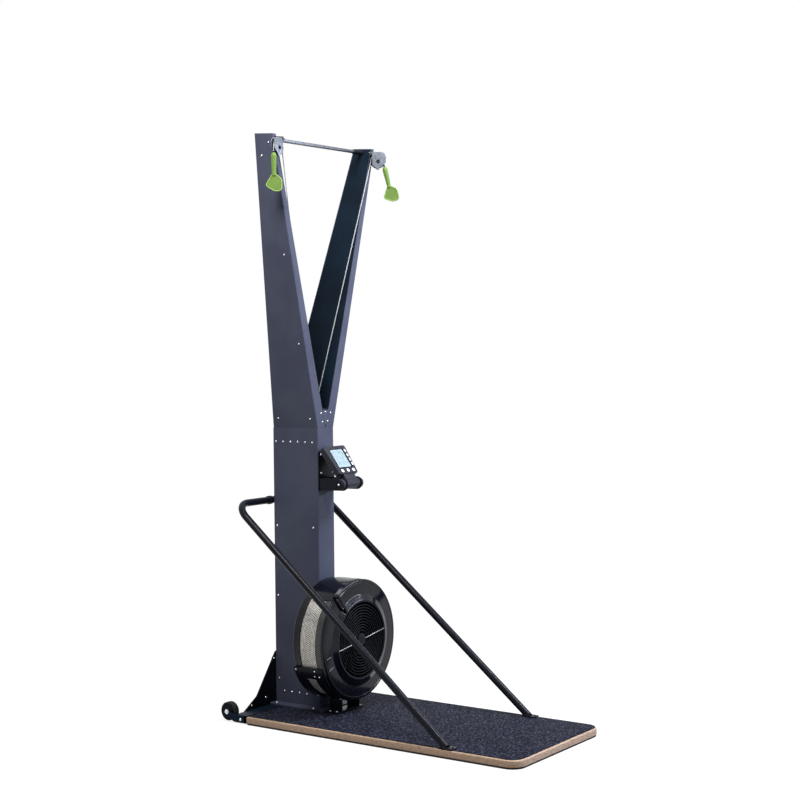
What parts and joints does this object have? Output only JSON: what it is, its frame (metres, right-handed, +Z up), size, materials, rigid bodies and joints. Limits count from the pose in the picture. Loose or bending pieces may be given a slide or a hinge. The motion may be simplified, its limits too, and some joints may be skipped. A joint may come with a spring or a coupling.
{
  "type": "ski trainer machine",
  "caption": "Upright pull-cord ski trainer: flat board, column with leaning arms, swivelling cord pulleys and handles, braking air fan, bent braces and tilting monitor.",
  "frame": {"origin": "on the floor, under the middle of the board", "axes": "+X to the right seen from the front, +Y to the rear, towards the column, +Z up"},
  "size_m": [0.6774, 1.268, 2.126],
  "materials": {
    "column_paint": "satin charcoal blue powder coat",
    "dark_paint": "satin dark powder coat",
    "black_paint": "black powder coat",
    "black_plastic": "moulded black plastic",
    "silver_metal": "zinc plated",
    "band_metal": "perforated",
    "fan_metal": "dark",
    "plywood": "light plywood edge",
    "grip_vinyl": "speckled non-slip",
    "rubber_black": "smooth",
    "cord_braid": "woven",
    "handle_green": "soft satin",
    "lcd_glass": "clear window",
    "key_white": "satin"
  },
  "bodies": {
    "frame": {"board_core": "plywood", "grip_mat": "grip_vinyl", "base_sheet": "black_plastic", "rear_beam": "dark_paint", "rear_plate": "black_paint", "wheel_bracket_left": "dark_paint", "wheel_bracket_right": "dark_paint", "column_foot": "column_paint", "column_shell": "column_paint", "column_rear_cover": "column_paint", "arm_left": "column_paint", "arm_right": "column_paint", "arm_cover_left": "dark_paint", "arm_cover_right": "dark_paint", "throat_plate": "column_paint", "cord_guide": "black_plastic", "crossbar": "silver_metal", "pulley_mount_left": "silver_metal", "pulley_mount_right": "silver_metal", "cord_left": "cord_braid", "cord_right": "cord_braid", "fan_back_dish": "black_plastic", "fan_band": "band_metal", "fan_front_shell": "black_plastic", "fan_grille": "black_plastic", "fan_cradle": "black_paint", "brace_left": "black_paint", "brace_right": "black_paint", "monitor_bracket": "black_paint", "bearing_front": "silver_metal", "bearing_rear": "dark_paint", "return_anchor": "black_plastic", "return_cord": "rubber_black"},
    "rotor": {"flywheel": "fan_metal", "drive_shaft": "silver_metal"},
    "swivel_left": {"pulley_bracket_left": "silver_metal", "cord_wrap_left": "cord_braid"},
    "roller_left": {"pulley_left": "black_plastic"},
    "pull_left": {"handle_left": "handle_green", "cord_tail_left": "cord_braid"},
    "drum_left": {"cord_drum_left": "fan_metal"},
    "swivel_right": {"pulley_bracket_right": "silver_metal", "cord_wrap_right": "cord_braid"},
    "roller_right": {"pulley_right": "black_plastic"},
    "pull_right": {"handle_right": "handle_green", "cord_tail_right": "cord_braid"},
    "drum_right": {"cord_drum_right": "fan_metal"},
    "damper": {"damper_ring": "black_plastic"},
    "monitor": {"monitor_case": "black_plastic", "lcd_lens": "lcd_glass", "pivot_tube": "black_plastic"},
    "push_1": {"button_1": "key_white"},
    "push_2": {"button_2": "key_white"},
    "push_3": {"button_3": "key_white"},
    "tap_1": {"key_1": "key_white"},
    "tap_2": {"key_2": "key_white"},
    "tap_3": {"key_3": "key_white"},
    "tap_4": {"key_4": "key_white"},
    "roll_left": {"wheel_left": "rubber_black"},
    "roll_right": {"wheel_right": "rubber_black"}
  },
  "joints": [
    {"name": "flywheel_spin", "type": "hinge", "parent": "frame", "child": "rotor", "pos_m": [0, 0.368, 0.298], "axis": [0, -1, 0], "continuous": true},
    {"name": "bracket_swivel_left", "type": "hinge", "parent": "frame", "child": "swivel_left", "pos_m": [-0.26606, 0.39017, 2.07], "axis": [0, 0, 1], "range_deg": [-5, 105]},
    {"name": "pulley_spin_left", "type": "hinge", "parent": "swivel_left", "child": "roller_left", "pos_m": [-0.29196, 0.3879, 2.07], "axis": [0.0872, -0.9962, 0], "range_deg": [0, 2760]},
    {"name": "handle_pull_left", "type": "slide", "parent": "swivel_left", "child": "pull_left", "axis": [0, 0, -1], "range_m": [0, 1.25], "stiffness_N_per_m": 8, "springref_m": -1, "deforming": ["cord_tail_left"]},
    {"name": "drum_spin_left", "type": "hinge", "parent": "frame", "child": "drum_left", "pos_m": [0, 0.463, 0.298], "axis": [0, -1, 0], "range_deg": [0, 3600]},
    {"name": "bracket_swivel_right", "type": "hinge", "parent": "frame", "child": "swivel_right", "pos_m": [0.26606, 0.39017, 2.07], "axis": [0, 0, 1], "range_deg": [-67, 43]},
    {"name": "pulley_spin_right", "type": "hinge", "parent": "swivel_right", "child": "roller_right", "pos_m": [0.28507, 0.37243, 2.07], "axis": [0.682, 0.7314, 0], "range_deg": [0, 2760]},
    {"name": "handle_pull_right", "type": "slide", "parent": "swivel_right", "child": "pull_right", "axis": [0, 0, -1], "range_m": [0, 1.25], "stiffness_N_per_m": 8, "springref_m": -1, "deforming": ["cord_tail_right"]},
    {"name": "drum_spin_right", "type": "hinge", "parent": "frame", "child": "drum_right", "pos_m": [0, 0.487, 0.298], "axis": [0, -1, 0], "range_deg": [0, 3600]},
    {"name": "damper_turn", "type": "hinge", "parent": "frame", "child": "damper", "pos_m": [0, 0.276, 0.298], "axis": [0, -1, 0], "range_deg": [0, 66]},
    {"name": "monitor_tilt", "type": "hinge", "parent": "frame", "child": "monitor", "pos_m": [0, 0.306, 0.868], "axis": [1, 0, 0], "range_deg": [0, 45]},
    {"name": "button_press_1", "type": "slide", "parent": "monitor", "child": "push_1", "axis": [0, 0.8059, -0.592], "range_m": [0, 0.001], "stiffness_N_per_m": 800, "springref_m": -0.001},
    {"name": "button_press_2", "type": "slide", "parent": "monitor", "child": "push_2", "axis": [0, 0.8059, -0.592], "range_m": [0, 0.001], "stiffness_N_per_m": 800, "springref_m": -0.001},
    {"name": "button_press_3", "type": "slide", "parent": "monitor", "child": "push_3", "axis": [0, 0.8059, -0.592], "range_m": [0, 0.001], "stiffness_N_per_m": 800, "springref_m": -0.001},
    {"name": "key_press_1", "type": "slide", "parent": "monitor", "child": "tap_1", "axis": [0, 0.8059, -0.592], "range_m": [0, 0.001], "stiffness_N_per_m": 800, "springref_m": -0.001},
    {"name": "key_press_2", "type": "slide", "parent": "monitor", "child": "tap_2", "axis": [0, 0.8059, -0.592], "range_m": [0, 0.001], "stiffness_N_per_m": 800, "springref_m": -0.001},
    {"name": "key_press_3", "type": "slide", "parent": "monitor", "child": "tap_3", "axis": [0, 0.8059, -0.592], "range_m": [0, 0.001], "stiffness_N_per_m": 800, "springref_m": -0.001},
    {"name": "key_press_4", "type": "slide", "parent": "monitor", "child": "tap_4", "axis": [0, 0.8059, -0.592], "range_m": [0, 0.001], "stiffness_N_per_m": 800, "springref_m": -0.001},
    {"name": "wheel_spin_left", "type": "hinge", "parent": "frame", "child": "roll_left", "pos_m": [-0.271, 0.662, 0.038], "axis": [1, 0, 0], "continuous": true},
    {"name": "wheel_spin_right", "type": "hinge", "parent": "frame", "child": "roll_right", "pos_m": [0.271, 0.662, 0.038], "axis": [1, 0, 0], "continuous": true}
  ],
  "couplings": [
    {"joint": "pulley_spin_left", "follows": "handle_pull_left", "rad_per_m": 38.462},
    {"joint": "drum_spin_left", "follows": "handle_pull_left", "rad_per_m": 50},
    {"joint": "pulley_spin_right", "follows": "handle_pull_right", "rad_per_m": 38.462},
    {"joint": "drum_spin_right", "follows": "handle_pull_right", "rad_per_m": 50}
  ]
}
